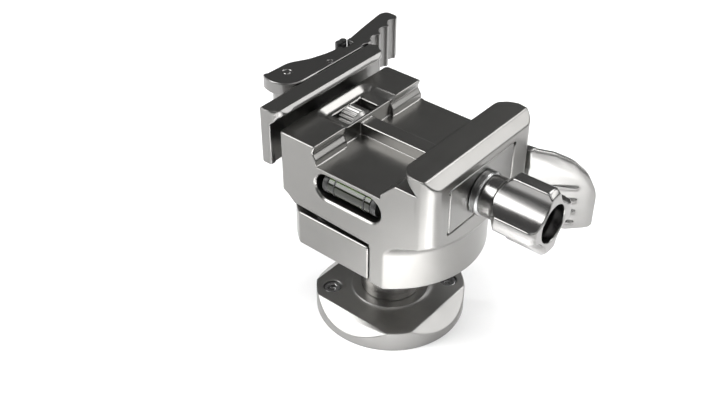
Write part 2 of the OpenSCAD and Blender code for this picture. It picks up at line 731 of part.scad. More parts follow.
module lock_lever() color("silver") difference() {
  union() {
    lever_arm();
    on_paddle(field_rise, plate_t - field_rise) paddle_outline();
    hull() {
      on_paddle(field_rise, slip) paddle_outline(1 - slip / paddle_len);
      on_paddle(0, slip) paddle_field();
    }
    along_y(hub_x, plate_y, hub_z) cylinder(r = hub_r, h = hub_h, $fn = small_fn);
    for (s = rib_shares) translate([bend_x, plate_y, paddle_low + paddle_h * s - rib_h / 2])
      rotate(paddle_deg) linear_extrude(rib_h) rib_plan();
  }
  along_y(hub_x, plate_y - over, hub_z) cylinder(r = shaft_r, h = plate_t + over, $fn = small_fn);
  along_y(hub_x, plate_y, hub_z) cylinder(r = lock_screw_r, h = hub_h, $fn = small_fn);
  along_y(hub_x, plate_y + hub_h - lock_head_h, hub_z)
    cylinder(r = lock_head_r + run_gap, h = lock_head_h + over, $fn = small_fn);
}

module lock_screw() color("dimgray") difference() {
  union() {
    along_y(hub_x, plate_y + plate_t - lock_screw_len + over, hub_z)
      cylinder(r = lock_screw_r, h = lock_screw_len - over + hub_h - plate_t - lock_head_h + slip, $fn = small_fn);
    along_y(hub_x, plate_y + hub_h - lock_head_h, hub_z)
      cylinder(r = lock_head_r, h = lock_head_h, $fn = small_fn);
  }
  along_y(hub_x, plate_y + hub_h - lock_head_h / 2, hub_z)
    cylinder(r = lock_head_r * 0.55, h = lock_head_h, $fn = 6);
}

// Thumbwheel and drawbar
module thumbwheel() color("silver") difference() {
  union() {
    along_x(-wheel_x - wheel_w, wheel_y, wheel_z) linear_extrude(wheel_w - wheel_flange)
      polygon([for (i = [0:wheel_n * 2 - 1]) (wheel_r - (i % 2) * wheel_tooth) * turn(i * 180 / wheel_n)]);
    along_x(-wheel_x - wheel_flange, wheel_y, wheel_z)
      cylinder(r1 = wheel_r, r2 = wheel_r - wheel_flange * 0.7, h = wheel_flange, $fn = small_fn);
  }
  along_x(-wheel_x - wheel_w - over, wheel_y, wheel_z)
    cylinder(r = drawbar_r + slip, h = wheel_w + over * 2, $fn = small_fn);
}

module drawbar() color("dimgray") along_x(-jaw_out + free_gap, wheel_y, wheel_z)
  cylinder(r = drawbar_r, h = jaw_out - free_gap - wheel_x - open_gap - draw_travel, $fn = small_fn);

module guide_pins() color("dimgray") for (s = [-1, 1]) along_x(-guide_end, s * guide_y, guide_z)
  cylinder(r = guide_r, h = guide_len, $fn = small_fn);

// Moving jaw
module jaw_profile() polygon([[-jaw_out, jaw_low], [-jaw_in, jaw_low], [-jaw_in, top_z - jaw_undercut],
  [-jaw_in + jaw_lip, top_z - jaw_edge], [-jaw_in + jaw_lip - jaw_lip_edge, top_z], [-jaw_out, top_z]]);

module jaw_plan() difference() {
  translate([-jaw_out - over, -jaw_half]) square([jaw_wall + jaw_lip + over * 2, jaw_half * 2]);
  for (s = [-1, 1]) difference() {
    translate([-jaw_in + jaw_lip - jaw_corner_r, s > 0 ? jaw_half - jaw_corner_r : -jaw_half - over])
      square([jaw_corner_r + over * 2, jaw_corner_r + over]);
    translate([-jaw_in + jaw_lip - jaw_corner_r, s * (jaw_half - jaw_corner_r)]) circle(r = jaw_corner_r, $fn = small_fn);
  }
}

module arca_jaw() color("silver") difference() {
  union() {
    intersection() {
      upright(-jaw_half, jaw_half) jaw_profile();
      translate([0, 0, jaw_low - over]) linear_extrude(jaw_h + over * 2) jaw_plan();
    }
    translate([pin_x, pin_y, lug_low]) cylinder(r = lug_r, h = lug_h, $fn = small_fn);
    box([pin_x, pin_y - lug_r, lug_low], [-jaw_out + over, pin_y + lug_r, lug_top]);
  }
  translate([pin_x, pin_y, lug_low - over]) cylinder(r = pin_r, h = lug_h + over * 2, $fn = small_fn);
  along_x(-jaw_out + run_gap, wheel_y, wheel_z) cylinder(r = drawbar_r + slip, h = jaw_wall + over, $fn = small_fn);
  for (s = [-1, 1]) along_x(-jaw_out - over, s * guide_y, guide_z)
    cylinder(r = guide_r + slip, h = jaw_wall + over * 2, $fn = small_fn);
}

module lever_pin() color("dimgray") translate([pin_x, pin_y, lever_low + run_gap])
  cylinder(r = pin_r, h = lever_h - run_gap, $fn = small_fn);

// Clamp lever
function lever_at(s) = [-lever_side - arm_w * s[1], pin_y + lever_reach * s[0]];
lever_points = concat([for (i = [0:9]) [pin_x, pin_y] + nose_r * turn(nose_from + (nose_to - nose_from) * i / 9)],
  [for (s = concat(lever_out_shares, lever_tip_shares, lever_in_shares)) lever_at(s)],
  [[-lever_side, pin_y + nose_r]]);
lever_round_shares = [0.12, 1.4, 2.8, 3.3, 3.3, 5.6, 7, 0.6, 0.4, 0.36, 0, 1, 2, 0.12];
lever_rounds = concat([for (i = [0:9]) 0], arm_w * lever_round_shares);
button_x = -lever_side - arm_w * button_side_share;
button_y = pin_y + lever_reach * button_at_share;

module clamp_lever() color("silver") difference() {
  translate([0, 0, lever_low]) linear_extrude(lever_h) polygon(rounded(lever_points, lever_rounds, 5));
  box([pin_x - nose_r - over, pin_y - nose_r - over * 2, lug_low - free_gap],
    [-jaw_out + over, pin_y + lug_r + free_gap, lug_top + free_gap]);
  translate([pin_x, pin_y, lever_low - over]) cylinder(r = pin_r + slip, h = lever_h + over * 2, $fn = small_fn);
  translate([-lever_side - arm_w * detent_side_share, pin_y + lever_reach * detent_at_share, top_z - lever_h * detent_h_share])
    cylinder(r = detent_r, h = lever_h, $fn = small_fn);
  for (i = [0:grip_n - 1]) translate(concat(lever_at(grip_from_shares) + grip_pitch * i * turn(90 + grip_lean),
      [lever_low - over])) cylinder(r = grip_r, h = lever_h + over * 2, $fn = small_fn);
  box([button_x - over * 3, button_y - button_gap / 2 - button_r - run_gap, button_low - run_gap],
    [button_x + button_r + button_gap, button_y + button_gap / 2 + button_r + run_gap, top_z + over]);
}

module detent_pin() color("dimgray")
  translate([-lever_side - arm_w * detent_side_share, pin_y + lever_reach * detent_at_share, top_z - lever_h * detent_h_share])
    cylinder(r = detent_r, h = lever_h * detent_h_share - slip, $fn = small_fn);

module lever_button() color("black") {
  for (s = [-1, 1]) translate([button_x, button_y + s * button_gap / 2, button_low])
    cylinder(r = button_r, h = top_z + button_rise - button_low, $fn = small_fn);
  box([button_x - button_r * 0.4, button_y - button_gap / 2, button_low],
    [button_x + button_r + button_stem_share, button_y + button_gap / 2, top_z - run_gap]);
}

// Rail jaw
module rail_jaw_profile() polygon([[slide_in, slide_low], [slide_in, slide_edge_z], [tooth_x + tooth_cut, apex_z],
  [tooth_x, seat_z - free_gap], [tooth_x, seat_z], [slide_out, seat_z], [slide_out, slide_low]]);

module rail_jaw() color("silver") difference() {
  intersection() {
    upright(window_y - window_half + run_gap, window_y + window_half - run_gap) rail_jaw_profile();
    union() {
      box([slide_in + tooth_run + run_gap, window_y - window_half, slide_low], [slide_out, window_y + window_half, seat_z]);
      box([slide_in, window_y - window_half, slide_low],
        [slide_in + tooth_run + over, window_y + window_half, slide_edge_z - over * 3 - run_gap]);
      box([tooth_x, tooth_y - tooth_half, slide_low], [slide_in + tooth_run + over, tooth_y + tooth_half, seat_z]);
    }
  }
  along_x(slide_in - over, knob_y, knob_z) cylinder(r = screw_r + slip, h = right_x - slide_in + over * 2, $fn = small_fn);
}

// Knob
module knob_washer() color("silver") difference() {
  along_x(washer_x, knob_y, knob_z) rotate_extrude($fn = round_fn) polygon([[0, 0], [washer_r, 0],
    [washer_r, washer_h - washer_edge], [washer_r - washer_edge, washer_h], [0, washer_h]]);
  along_x(washer_x - over, knob_y, knob_z) cylinder(r = screw_r, h = washer_h + over * 2, $fn = small_fn);
}

module knob() color("silver") difference() {
  union() {
    along_x(knob_x, knob_y, knob_z) rotate_extrude($fn = round_fn) polygon([[0, 0], [collar_r, 0],
      [knob_r, knob_back], [knob_r, knob_len - knob_chamfer], [knob_r - knob_chamfer, knob_len], [0, knob_len]]);
    along_x(collar_x, knob_y, knob_z) cylinder(r = collar_r, h = collar_h + over, $fn = round_fn);
  }
  for (i = [0:flute_n - 1]) translate([0, knob_y, knob_z]) rotate([(i * 2 + 1) * 180 / flute_n, 0, 0])
    along_x(knob_x - over, knob_r + flute_r - flute_depth, 0)
      cylinder(r = flute_r, h = knob_len + over * 2, $fn = small_fn);
  along_x(knob_end - knob_bore_len, knob_y, knob_z) cylinder(r = knob_bore_r, h = knob_bore_len + over, $fn = round_fn);
  along_x(collar_x - over, knob_y, knob_z) cylinder(r = screw_r, h = knob_len + collar_h, $fn = small_fn);
}

module clamp_screw() color("dimgray") along_x(screw_tip, knob_y, knob_z)
  cylinder(r = screw_r, h = knob_end - knob_bore_len - screw_tip, $fn = small_fn);

module knob_cap_screw() color("dimgray") difference() {
  along_x(knob_end - knob_bore_len, knob_y, knob_z) cylinder(r = cap_r, h = cap_h, $fn = small_fn);
  along_x(knob_end - knob_bore_len + cap_h * knob_web_share, knob_y, knob_z) cylinder(r = cap_hex, h = cap_h, $fn = 6);
}

// Spirit level
module vial_place(x) along_x(vial_x + x, -vial_y, vial_z) children();

module vial_tube() color("olivedrab") difference() {
  vial_place(-vial_len / 2 + vial_cap) cylinder(r = vial_r, h = vial_len - vial_cap * 2, $fn = small_fn);
  vial_place(-bubble_len / 2 - vial_fit) translate([-vial_r + bubble_r + over, 0, 0])
    cylinder(r = bubble_r + vial_fit, h = bubble_len + vial_fit * 2, $fn = small_fn);
}

module vial_bubble() color("greenyellow") vial_place(-bubble_len / 2) translate([-vial_r + bubble_r + over, 0, 0])
  cylinder(r = bubble_r, h = bubble_len, $fn = small_fn);

module vial_caps() color("black") for (s = [0, 1]) vial_place(-vial_len / 2 + s * (vial_len - vial_cap))
  cylinder(r = vial_r, h = vial_cap, $fn = small_fn);

module vial_rings() color("black") for (s = [-1, 1]) vial_place(s * vial_ring_gap / 2 - vial_ring_w / 2) difference() {
  cylinder(r = vial_r + vial_ring_t, h = vial_ring_w, $fn = small_fn);
  translate([0, 0, -over]) cylinder(r = vial_r, h = vial_ring_w + over * 2, $fn = small_fn);
}

base_flange();
base_screws();
thread_bush();
ball_stem();
ball_seat();
housing();
seat_ring();
clamp_block();
block_pins();
lock_bush();
lock_shaft();
lock_lever();
lock_screw();
thumbwheel();
drawbar();
guide_pins();
arca_jaw();
lever_pin();
clamp_lever();
detent_pin();
lever_button();
rail_jaw();
knob_washer();
knob();
clamp_screw();
knob_cap_screw();
vial_tube();
vial_bubble();
vial_caps();
vial_rings();
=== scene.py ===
"""Looks, light and camera of a low tripod ball head with a plate clamp and a rail clamp."""

from __future__ import annotations

import json
import logging
import math
from dataclasses import dataclass, field
from enum import Enum

import bmesh
import bpy
from mathutils import Matrix, Vector
from mathutils.bvhtree import BVHTree
from mathutils.kdtree import KDTree

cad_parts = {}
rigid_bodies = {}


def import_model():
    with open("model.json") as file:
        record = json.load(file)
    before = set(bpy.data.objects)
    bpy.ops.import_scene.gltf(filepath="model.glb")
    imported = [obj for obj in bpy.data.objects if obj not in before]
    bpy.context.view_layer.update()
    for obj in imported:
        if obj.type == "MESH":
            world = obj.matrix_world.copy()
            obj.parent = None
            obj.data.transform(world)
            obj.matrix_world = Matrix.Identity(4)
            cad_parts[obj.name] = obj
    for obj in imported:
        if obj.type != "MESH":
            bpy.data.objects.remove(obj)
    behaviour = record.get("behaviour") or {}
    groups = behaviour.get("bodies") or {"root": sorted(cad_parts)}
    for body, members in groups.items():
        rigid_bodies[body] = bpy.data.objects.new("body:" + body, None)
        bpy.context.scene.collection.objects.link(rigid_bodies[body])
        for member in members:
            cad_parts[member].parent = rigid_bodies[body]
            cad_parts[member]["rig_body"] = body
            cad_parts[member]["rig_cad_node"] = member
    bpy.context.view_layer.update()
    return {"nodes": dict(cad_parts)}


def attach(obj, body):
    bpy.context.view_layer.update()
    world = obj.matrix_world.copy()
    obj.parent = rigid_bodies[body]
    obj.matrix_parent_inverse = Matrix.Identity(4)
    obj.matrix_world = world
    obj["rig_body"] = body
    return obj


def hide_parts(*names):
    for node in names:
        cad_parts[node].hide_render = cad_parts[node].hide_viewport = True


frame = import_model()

MM = 0.001
LOG = logging.getLogger("ball_head")

# Metals: how far the tone and the roughness drift, and over what length
METAL_TINT = 1.02
METAL_TINT_MM = 5.0
METAL_DRIFT = 0.012
METAL_DRIFT_MM = 4.0
GRAIN_HEIGHT_MM = 0.012
EDGE_SAMPLES = 12

# Skins: merging of the solid's faces, then the breaking of its edges.
# The widths are counted in widths of the broken edge.
WELD_MM = 0.002
FLAT_DEG = 0.6
FACE_WEIGHT = 80
SPLIT_WIDTHS = 3.0
LONG_EDGE_WIDTHS = 8.0
BARRED_WIDTHS = 1.5
STRAY_SHARE = 0.6
FOLD_COSINE = 0.1
SLIVER_M2 = 1e-12

# Spirit level: the heights between which its colour changes from the deep tone to the painted
# pale reflection along its top
LEVEL_LOW_MM = 40.7
LEVEL_HIGH_MM = 46.1

# Studio
HEAD_MIDDLE_M = 0.035
DOME_M = 0.62
FLOOR_TONE = 0.93
ROOM_LIGHT = 0.15


def mm(*values: float) -> tuple[float, ...]:
    """Turns millimetres into metres.

    Args:
        values: Lengths or coordinates in millimetres.

    Returns:
        The same values in metres.
    """
    return tuple(v * MM for v in values)


class Tone(Enum):
    """Linear greys of the bare metal pieces."""

    BODY = (0.242, 0.238, 0.230)
    BASE = (0.310, 0.306, 0.298)
    STEM = (0.290, 0.283, 0.271)
    JAW = (0.235, 0.232, 0.226)
    LEVER = (0.215, 0.212, 0.208)
    PADDLE = (0.300, 0.296, 0.289)
    KNOB = (0.270, 0.266, 0.260)
    STEEL = (0.320, 0.320, 0.320)
    PIN = (0.180, 0.180, 0.185)


class Finish:
    """A finish that builds its own node material once and hands it out."""

    name: str

    def dress(self, material: bpy.types.Material) -> None:
        """Builds the node tree of the finish.

        Args:
            material: The new material to fill.
        """
        raise NotImplementedError

    def material(self) -> bpy.types.Material:
        """Finds or makes the material of this finish.

        Returns:
            The material.
        """
        found = bpy.data.materials.get(self.name)
        if found is None:
            found = bpy.data.materials.new(self.name)
            found.use_nodes = True
            self.dress(found)
        return found

    @staticmethod
    def shader(material: bpy.types.Material) -> bpy.types.ShaderNode:
        """Finds the main shader node.

        Args:
            material: The material to look in.

        Returns:
            Its shader node.
        """
        return next(n for n in material.node_tree.nodes if n.type == "BSDF_PRINCIPLED")


def grain(
    material: bpy.types.Material,
    size_mm: float,
    depth: float,
    distance_mm: float,
    stretch: tuple[float, float, float] = (1.0, 1.0, 1.0),
    detail: float = 3.0,
) -> bpy.types.ShaderNode:
    """Adds a fine surface grain on Object coordinates and feeds it to the bump.

    Args:
        material: The material to work on.
        size_mm: Size of one grain.
        depth: Strength of the bump.
        distance_mm: Height of the grain.
        stretch: How far the grain is drawn out along X, Y and Z.
        detail: Octaves of the grain.

    Returns:
        The bump node.
    """
    tree = material.node_tree
    place = tree.nodes.new("ShaderNodeTexCoord")
    mapping = tree.nodes.new("ShaderNodeMapping")
    mapping.inputs["Scale"].default_value = [1.0 / (size_mm * MM * s) for s in stretch]
    noise = tree.nodes.new("ShaderNodeTexNoise")
    noise.inputs["Scale"].default_value = 1.0
    noise.inputs["Detail"].default_value = detail
    bump = tree.nodes.new("ShaderNodeBump")
    bump.inputs["Strength"].default_value = depth
    bump.inputs["Distance"].default_value = distance_mm * MM
    tree.links.new(place.outputs["Object"], mapping.inputs["Vector"])
    tree.links.new(mapping.outputs["Vector"], noise.inputs["Vector"])
    tree.links.new(noise.outputs["Fac"], bump.inputs["Height"])
    tree.links.new(bump.outputs["Normal"], Finish.shader(material).inputs["Normal"])
    return bump


def spread(
    material: bpy.types.Material,
    socket: str,
    low: float,
    high: float,
    size_mm: float,
) -> None:
    """Varies one number of the shader slowly over the surface.

    Args:
        material: The material to work on.
        socket: Name of the shader's input.
        low: Lowest value.
        high: Highest value.
        size_mm: Size of one patch.
    """
    tree = material.node_tree
    place = tree.nodes.new("ShaderNodeTexCoord")
    noise = tree.nodes.new("ShaderNodeTexNoise")
    noise.inputs["Scale"].default_value = 1.0 / (size_mm * MM)
    noise.inputs["Detail"].default_value = 1.0
    ramp = tree.nodes.new("ShaderNodeMapRange")
    ramp.inputs["From Min"].default_value = 0.3
    ramp.inputs["From Max"].default_value = 0.7
    ramp.inputs["To Min"].default_value = low
    ramp.inputs["To Max"].default_value = high
    tree.links.new(place.outputs["Object"], noise.inputs["Vector"])
    tree.links.new(noise.outputs["Fac"], ramp.inputs["Value"])
    tree.links.new(ramp.outputs["Result"], Finish.shader(material).inputs[socket])


def tint(
    material: bpy.types.Material,
    first: tuple[float, float, float],
    second: tuple[float, float, float],
    size_mm: float,
) -> None:
    """Drifts the base colour between two tones over the surface.

    Args:
        material: The material to work on.
        first: One linear colour.
        second: The other linear colour.
        size_mm: Size of one patch.
    """
    tree = material.node_tree
    place = tree.nodes.new("ShaderNodeTexCoord")
    noise = tree.nodes.new("ShaderNodeTexNoise")
    noise.inputs["Scale"].default_value = 1.0 / (size_mm * MM)
    noise.inputs["Detail"].default_value = 1.0
    ramp = tree.nodes.new("ShaderNodeValToRGB")
    ramp.color_ramp.elements[0].position = 0.35
    ramp.color_ramp.elements[0].color = (*first, 1.0)
    ramp.color_ramp.elements[1].position = 0.65
    ramp.color_ramp.elements[1].color = (*second, 1.0)
    tree.links.new(place.outputs["Object"], noise.inputs["Vector"])
    tree.links.new(noise.outputs["Fac"], ramp.inputs["Fac"])
    tree.links.new(ramp.outputs["Color"], Finish.shader(material).inputs["Base Color"])


def metal(
    material: bpy.types.Material, colour: tuple[float, float, float], roughness: float
) -> None:
    """Sets up bare metal whose tone and roughness drift a little over the surface.

    Args:
        material: The material to work on.
        colour: Its linear colour.
        roughness: Its mean roughness.
    """
    Finish.shader(material).inputs["Metallic"].default_value = 1.0
    tint(material, colour, tuple(c * METAL_TINT for c in colour), METAL_TINT_MM)
    low, high = roughness - METAL_DRIFT, roughness + METAL_DRIFT
    spread(material, "Roughness", low, high, METAL_DRIFT_MM)


@dataclass(frozen=True)
class BlastedMetal(Finish):
    """Bead-blasted and clear-anodised aluminium: satin, with a very fine even grain."""

    name: str
    tone: Tone
    roughness: float = 0.29
    grain_mm: float = 0.11
    depth: float = 0.04
    edge_mm: float = 0.4

    def dress(self, material: bpy.types.Material) -> None:
        """Builds the satin metal, its grain, its soft edges and its faint unevenness.

        Args:
            material: The new material to fill.
        """
        metal(material, self.tone.value, self.roughness)
        bump = grain(material, self.grain_mm, self.depth, GRAIN_HEIGHT_MM)
        tree = material.node_tree
        soft = tree.nodes.new("ShaderNodeBevel")
        soft.samples = EDGE_SAMPLES
        soft.inputs["Radius"].default_value = self.edge_mm * MM
        tree.links.new(soft.outputs["Normal"], bump.inputs["Normal"])


@dataclass(frozen=True)
class TurnedMetal(Finish):
    """Lathe-turned metal with a very faint grain, drawn out round its upright axis."""

    name: str
    tone: Tone
    roughness: float
    grain_mm: float = 0.16
    depth: float = 0.03
    stretch: tuple[float, float, float] = (8.0, 8.0, 1.0)

    def dress(self, material: bpy.types.Material) -> None:
        """Builds the smoother metal with its drawn-out grain.

        Args:
            material: The new material to fill.
        """
        metal(material, self.tone.value, self.roughness)
        grain(material, self.grain_mm, self.depth, GRAIN_HEIGHT_MM, self.stretch, 1.0)


@dataclass(frozen=True)
class BlackPlastic(Finish):
    """Black moulded polymer with a soft grain."""

    name: str
    grey: float = 0.012
    roughness: float = 0.42
    pale_share: float = 1.7
    drift: float = 0.06

    def dress(self, material: bpy.types.Material) -> None:
        """Builds the dark polymer.

        Args:
            material: The new material to fill.
        """
        pale = self.grey * self.pale_share
        tint(material, (self.grey,) * 3, (pale,) * 3, size_mm=0.7)
        low, high = self.roughness - self.drift, self.roughness + self.drift
        spread(material, "Roughness", low, high, size_mm=0.9)
        grain(material, size_mm=0.2, depth=0.15, distance_mm=0.02)


@dataclass(frozen=True)
class LevelFluid(Finish):
    """Glossy tinted tube or bubble of the spirit level, with a painted pale reflection along its
    top.
    """

    name: str
    colour: tuple[float, float, float]
    deep: tuple[float, float, float]
    roughness: float = 0.08
    dark_until: float = 0.80
    # Share of the height range from which the painted pale reflection along the top is full.
    painted_reflection_from: float = 0.97

    def dress(self, material: bpy.types.Material) -> None:
        """Builds the glossy tinted surface, dark up to a line near its top and lightened above
        that line by a painted reflection.

        Args:
            material: The new material to fill.
        """
        shader = self.shader(material)
        tree = material.node_tree
        shader.inputs["Roughness"].default_value = self.roughness
        shader.inputs["IOR"].default_value = 1.49
        shader.inputs["Coat Weight"].default_value = 0.25
        shader.inputs["Coat Roughness"].default_value = 0.03
        place = tree.nodes.new("ShaderNodeTexCoord")
        split = tree.nodes.new("ShaderNodeSeparateXYZ")
        ramp = tree.nodes.new("ShaderNodeValToRGB")
        height = tree.nodes.new("ShaderNodeMapRange")
        height.inputs["From Min"].default_value = LEVEL_LOW_MM * MM
        height.inputs["From Max"].default_value = LEVEL_HIGH_MM * MM
        ramp.color_ramp.elements[0].color = (*self.deep, 1.0)
        # Painted reflection: the pale colour along the top stands in for light that the tube
        # mirrors.
        ramp.color_ramp.elements[1].color = (*self.colour, 1.0)
        ramp.color_ramp.elements[0].position = self.dark_until
        ramp.color_ramp.elements[1].position = self.painted_reflection_from
        tree.links.new(place.outputs["Object"], split.inputs["Vector"])
        tree.links.new(split.outputs["Z"], height.inputs["Value"])
        tree.links.new(height.outputs["Result"], ramp.inputs["Fac"])
        tree.links.new(ramp.outputs["Color"], shader.inputs["Base Color"])


BODY = BlastedMetal("body_blasted_metal", Tone.BODY)
BASE = BlastedMetal("base_blasted_metal", Tone.BASE, 0.36)
JAW = BlastedMetal("jaw_blasted_metal", Tone.JAW)
LEVER = BlastedMetal("lever_blasted_metal", Tone.LEVER)
PADDLE = BlastedMetal("paddle_satin_metal", Tone.PADDLE, 0.25, edge_mm=1.1)
KNOB = BlastedMetal("knob_satin_metal", Tone.KNOB, 0.22, grain_mm=0.09, depth=0.02)
STEM = TurnedMetal("stem_turned_metal", Tone.STEM, 0.26)
STEEL = TurnedMetal("screw_turned_steel", Tone.STEEL, 0.25)
PIN = TurnedMetal("pin_ground_steel", Tone.PIN, 0.28)
SEAT = BlackPlastic("seat_black_polymer", 0.02, 0.5)
BLACK = BlackPlastic("black_moulded_polymer")
# First colour: the painted pale reflection along the top; second colour: the deep tone below it.
TUBE = LevelFluid("level_tube_green", (0.10, 0.20, 0.012), (0.010, 0.012, 0.006))
BUBBLE = LevelFluid("level_bubble_pale", (0.16, 0.26, 0.05), (0.02, 0.026, 0.010))


def clear_selection() -> None:
    """Leaves edit mode and deselects everything."""
    if bpy.context.object is not None and bpy.context.object.mode != "OBJECT":
        bpy.ops.object.mode_set(mode="OBJECT")
    bpy.ops.object.select_all(action="DESELECT")


def pick(thing: bpy.types.Object) -> None:
    """Selects one object and makes it active.

    Args:
        thing: The object to work on.
    """
    clear_selection()
    thing.hide_viewport = False
    thing.select_set(True)
    bpy.context.view_layer.objects.active = thing


@dataclass(frozen=True)
class Skin:
    """A finished surface over one machined solid: merged, with broken edges.

    An edge width of zero leaves the edges as the solid has them.
    """

    node: str
    body: str
    slot: str
    finish: Finish
    edge_mm: float
    segments: int = 2
    angle_deg: float = 28.0
    smooth_deg: float = 32.0
    tries: int = 12

    def sharp(self, shape: bmesh.types.BMesh, barred: set[int]) -> list[bmesh.types.BMEdge]:
        """Finds the edges to break.

        Args:
            shape: The surface.
            barred: Indices of the corners that stay as they are.

        Returns:
            The sharp edges that touch no barred corner.
        """
        limit = math.radians(self.angle_deg)
        return [
            edge
            for edge in shape.edges
            if len(edge.link_faces) == 2
            and edge.calc_face_angle(0.0) > limit
            and not any(corner.index in barred for corner in edge.verts)
        ]

    def strays(self, shape: bmesh.types.BMesh, solid: BVHTree) -> list[Vector]:
        """Finds where a broken edge left the solid or folded over.

        Args:
            shape: The surface with its edges broken.
            solid: The surface before.

        Returns:
            Ends of the shortest sides of the triangles that went astray.
        """
        found = []
        for loops in shape.calc_loop_triangles():
            a, b, c = (loop.vert.co for loop in loops)
            normal = (b - a).cross(c - a)
            if normal.length < SLIVER_M2:
                continue
            _, facing, _, gap = solid.find_nearest((a + b + c) / 3.0)
            folded = normal.normalized().dot(facing) < FOLD_COSINE
            if folded or gap > STRAY_SHARE * self.edge_mm * MM:
                sides = ((a, b), (b, c), (c, a))
                short = min(sides, key=lambda ends: (ends[0] - ends[1]).length)
                found.extend(corner.copy() for corner in short)
        return found

    def split_long_edges(self, shape: bmesh.types.BMesh) -> None:
        """Splits the long sharp edges near both ends, so that a fault stays short.

        Args:
            shape: The merged surface.
        """
        width = self.edge_mm * MM
        for edge in self.sharp(shape, set()):
            length = edge.calc_length()
            if length > LONG_EDGE_WIDTHS * width:
                share = SPLIT_WIDTHS * width / length
                new_edge, corner = bmesh.utils.edge_split(edge, edge.verts[0], share)
                rest = edge if edge.calc_length() > new_edge.calc_length() else new_edge
                far = next(v for v in rest.verts if v is not corner)
                bmesh.utils.edge_split(rest, far, SPLIT_WIDTHS * width / rest.calc_length())

    def break_edges(self, piece: bpy.types.Object) -> None:
        """Breaks the sharp edges, and leaves the corners round a fault sharp.

        The last try is kept, and its faults are logged.

        Args:
            piece: The merged surface.
        """
        width = self.edge_mm * MM
        shape = bmesh.new()
        shape.from_mesh(piece.data)
        self.split_long_edges(shape)
        shape.verts.index_update()
        shape.normal_update()
        solid = BVHTree.FromBMesh(shape)
        places = KDTree(len(shape.verts))
        for corner in shape.verts:
            places.insert(corner.co, corner.index)
        places.balance()
        barred: set[int] = set()
        for _ in range(self.tries):
            trial = shape.copy()
            bmesh.ops.bevel(
                trial,
                geom=self.sharp(trial, barred),
                offset=width,
                offset_type="OFFSET",
                segments=self.segments,
                profile=0.5,
                affect="EDGES",
                clamp_overlap=False,
            )
            lost = self.strays(trial, solid)
            trial.to_mesh(piece.data)
            trial.free()
            if not lost:
                break
            for place in lost:
                near = places.find_range(place, BARRED_WIDTHS * width)
                barred.update(index for _, index, _ in near)
        LOG.info("%s: %d corners sharp, %d ends astray", self.node, len(barred), len(lost))
        shape.free()

    def make(self) -> bpy.types.Object:
        """Copies the solid's surface, merges it, breaks its edges and dresses it.

        Returns:
            The finished piece, which stands for the solid.
        """
        source = frame["nodes"][self.node]
        pick(source)
        bpy.ops.object.duplicate()
        piece = bpy.context.object
        piece.name = f"{self.node}_finished"
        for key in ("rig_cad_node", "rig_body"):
            if key in piece:
                del piece[key]
        piece.parent = None
        piece.matrix_world = Matrix.Identity(4)
        piece.data.materials.clear()
        piece.data.materials.append(self.finish.material())
        bpy.ops.object.mode_set(mode="EDIT")
        bpy.ops.mesh.select_all(action="SELECT")
        bpy.ops.mesh.remove_doubles(threshold=WELD_MM * MM)
        bpy.ops.mesh.customdata_custom_splitnormals_clear()
        bpy.ops.mesh.dissolve_limited(angle_limit=math.radians(FLAT_DEG))
        bpy.ops.object.mode_set(mode="OBJECT")
        if self.edge_mm > 0:
            self.break_edges(piece)
        bpy.ops.object.shade_smooth_by_angle(angle=math.radians(self.smooth_deg))
        even = piece.modifiers.new("even_faces", "WEIGHTED_NORMAL")
        even.mode = "FACE_AREA"
        even.weight = FACE_WEIGHT
        even.keep_sharp = True
        bpy.ops.object.modifier_apply(modifier=even.name)
        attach(piece, self.body)
        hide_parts(self.node)
        LOG.info("%s: %d faces", piece.name, len(piece.data.polygons))
        return piece


@dataclass
class Assembly:
    """A group of pieces that belong together on the object."""

    skins: list[Skin] = field(default_factory=list)

    def build(self) -> list[bpy.types.Object]:
        """Makes every skin of the group.

        Returns:
            The finished pieces.
        """
        return [skin.make() for skin in self.skins]


@dataclass
class BaseGroup(Assembly):
    """Base disc, its two screws and the threaded bush."""

    skins: list[Skin] = field(
        default_factory=lambda: [
            Skin("base_flange", "base", "base_metal", BASE, 0.22, angle_deg=20.0),
            Skin("base_screws", "base", "screw_steel", STEEL, 0.25, 3),
            Skin("thread_bush", "base", "screw_steel", STEEL, 0.1),
        ]
    )


@dataclass
class BallGroup(Assembly):
    """Ball with its stem, and the polymer seats round it."""

    skins: list[Skin] = field(
        default_factory=lambda: [
            Skin("ball_stem", "ball", "stem_metal", STEM, 0.1),
            Skin("ball_seat", "seat", "seat_polymer", SEAT, 0.1),
            Skin("seat_ring", "head", "seat_polymer", SEAT, 0.1),
        ]
    )


@dataclass
class HeadGroup(Assembly):
    """Body of the head, its split block and its pins."""

    skins: list[Skin] = field(
        default_factory=lambda: [
            Skin("housing", "head", "body_metal", BODY, 0.34, 3),
            Skin("clamp_block", "block", "body_metal", BODY, 0.45, 3),
            Skin("block_pins", "head", "pin_steel", PIN, 0.1),
            Skin("guide_pins", "head", "pin_steel", PIN, 0.15),
            Skin("lock_bush", "head", "screw_steel", STEEL, 0.1),
        ]
    )


@dataclass
class LockGroup(Assembly):
    """Lock lever with its shaft and screw."""

    skins: list[Skin] = field(
        default_factory=lambda: [
            Skin("lock_lever", "lock", "lever_metal", PADDLE, 0.0, smooth_deg=75.0),
            Skin("lock_shaft", "lock", "pin_steel", PIN, 0.1),
            Skin("lock_screw", "lock", "screw_steel", STEEL, 0.1),
        ]
    )


